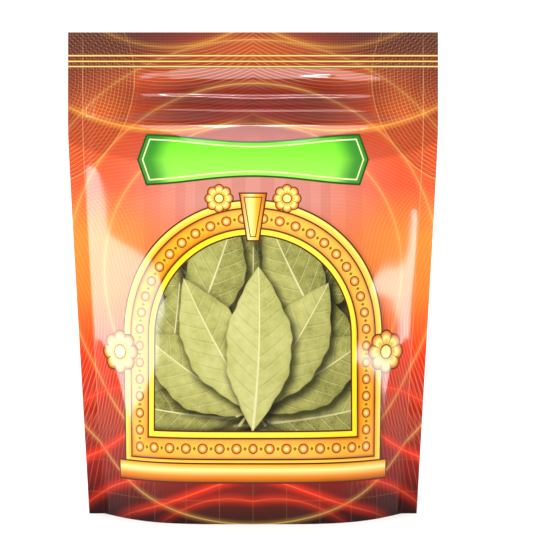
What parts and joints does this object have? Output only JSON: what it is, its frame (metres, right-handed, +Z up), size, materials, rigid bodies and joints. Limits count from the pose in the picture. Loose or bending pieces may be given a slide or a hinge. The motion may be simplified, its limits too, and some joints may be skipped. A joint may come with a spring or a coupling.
{
  "type": "stand-up pouch",
  "caption": "Closed stand-up pouch of printed plastic film with a press-to-close zip and an opened bottom gusset, filled with dried bay leaves.",
  "frame": {"origin": "on the floor under the middle of the standing pouch", "axes": "+Z up, from the standing foot to the top seal; -Y is the printed front; +X runs along the top edge, to the right seen from the front"},
  "size_m": [0.15, 0.051, 0.195],
  "materials": {
    "front_film": "gloss",
    "back_film": "gloss",
    "gusset_film": "gloss",
    "zip_plastic": "satin",
    "dried_leaf": "matte"
  },
  "bodies": {
    "root": {"front_panel": "front_film", "back_panel": "back_film", "bottom_gusset": "gusset_film", "zip_rib_strip": "zip_plastic", "zip_groove_strip": "zip_plastic", "bay_leaf_01": "dried_leaf", "bay_leaf_02": "dried_leaf", "bay_leaf_03": "dried_leaf", "bay_leaf_04": "dried_leaf", "bay_leaf_05": "dried_leaf", "bay_leaf_06": "dried_leaf", "bay_leaf_07": "dried_leaf", "bay_leaf_08": "dried_leaf", "bay_leaf_09": "dried_leaf", "bay_leaf_10": "dried_leaf", "bay_leaf_11": "dried_leaf", "bay_leaf_12": "dried_leaf", "bay_leaf_13": "dried_leaf", "bay_leaf_14": "dried_leaf", "bay_leaf_15": "dried_leaf", "bay_leaf_16": "dried_leaf", "bay_leaf_17": "dried_leaf", "bay_leaf_18": "dried_leaf", "bay_leaf_19": "dried_leaf", "bay_leaf_20": "dried_leaf", "bay_leaf_21": "dried_leaf"}
  },
  "joints": []
}
